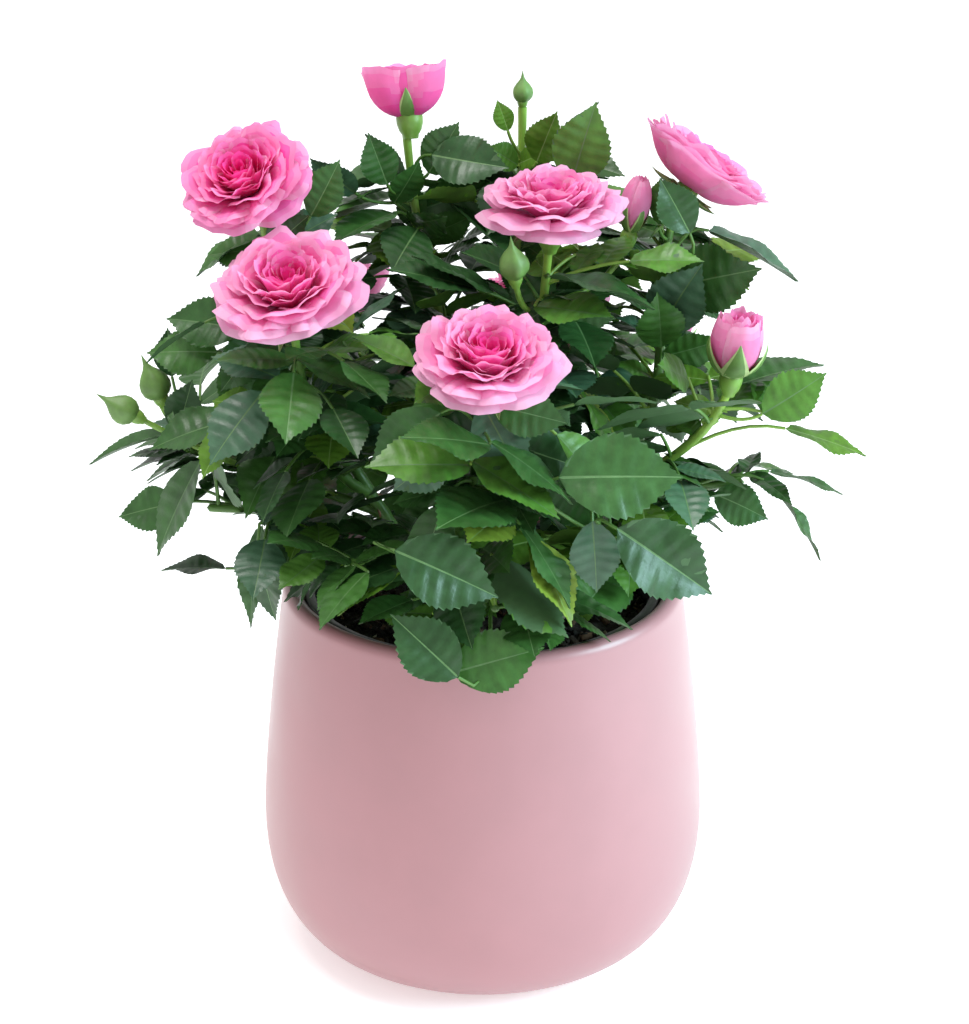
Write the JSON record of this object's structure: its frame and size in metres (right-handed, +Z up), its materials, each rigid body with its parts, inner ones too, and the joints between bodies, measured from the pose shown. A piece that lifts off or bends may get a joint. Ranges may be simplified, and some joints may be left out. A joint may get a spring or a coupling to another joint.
{
  "type": "potted rose bush",
  "caption": "Miniature rose bush with open rosettes, buds and toothed leaves, in a round-bellied glazed pot with a plastic liner.",
  "frame": {"origin": "centre of the pot's flat underside", "axes": "+Z up, front toward -Y, +X to the viewer's right"},
  "size_m": [0.2494, 0.2031, 0.2965],
  "materials": {
    "glaze": "satin pink glaze",
    "plastic": "black nursery pot",
    "compost": "loose dark compost",
    "stem": "green canes, woody at the foot",
    "foliage": "glossy dark green leaves",
    "flower": "soft pink petals",
    "bud": "closed green buds"
  },
  "bodies": {
    "root": {"pot": "glaze", "liner": "plastic", "compost": "compost", "cane_left": "stem", "cane_front": "stem", "cane_middle": "stem", "cane_right": "stem", "cane_back": "stem", "bough_upper_left": "stem", "foliage_upper_left": "foliage", "flower_upper_left": "flower", "bough_middle_left": "stem", "foliage_middle_left": "foliage", "flower_middle_left": "flower", "bough_far_left": "stem", "foliage_far_left": "foliage", "flower_far_left": "bud", "bough_front": "stem", "foliage_front": "foliage", "flower_front": "flower", "bough_centre": "stem", "foliage_centre": "foliage", "flower_centre": "flower", "bough_top": "stem", "foliage_top": "foliage", "flower_top": "flower", "bough_crest": "stem", "foliage_crest": "foliage", "flower_crest": "bud", "bough_upper_right": "stem", "foliage_upper_right": "foliage", "flower_upper_right": "flower", "bough_far_right": "stem", "foliage_far_right": "foliage", "flower_far_right": "flower", "bough_back_left": "stem", "foliage_back_left": "foliage", "flower_back_left": "flower", "bough_back": "stem", "foliage_back": "foliage", "flower_back": "flower", "bough_back_right": "stem", "foliage_back_right": "foliage", "flower_back_right": "flower", "foliage_low_left": "foliage", "foliage_low_front_left": "foliage", "foliage_low_front": "foliage", "foliage_low_front_right": "foliage", "foliage_low_right": "foliage", "foliage_low_back_left": "foliage", "foliage_low_back_right": "foliage"}
  },
  "joints": []
}
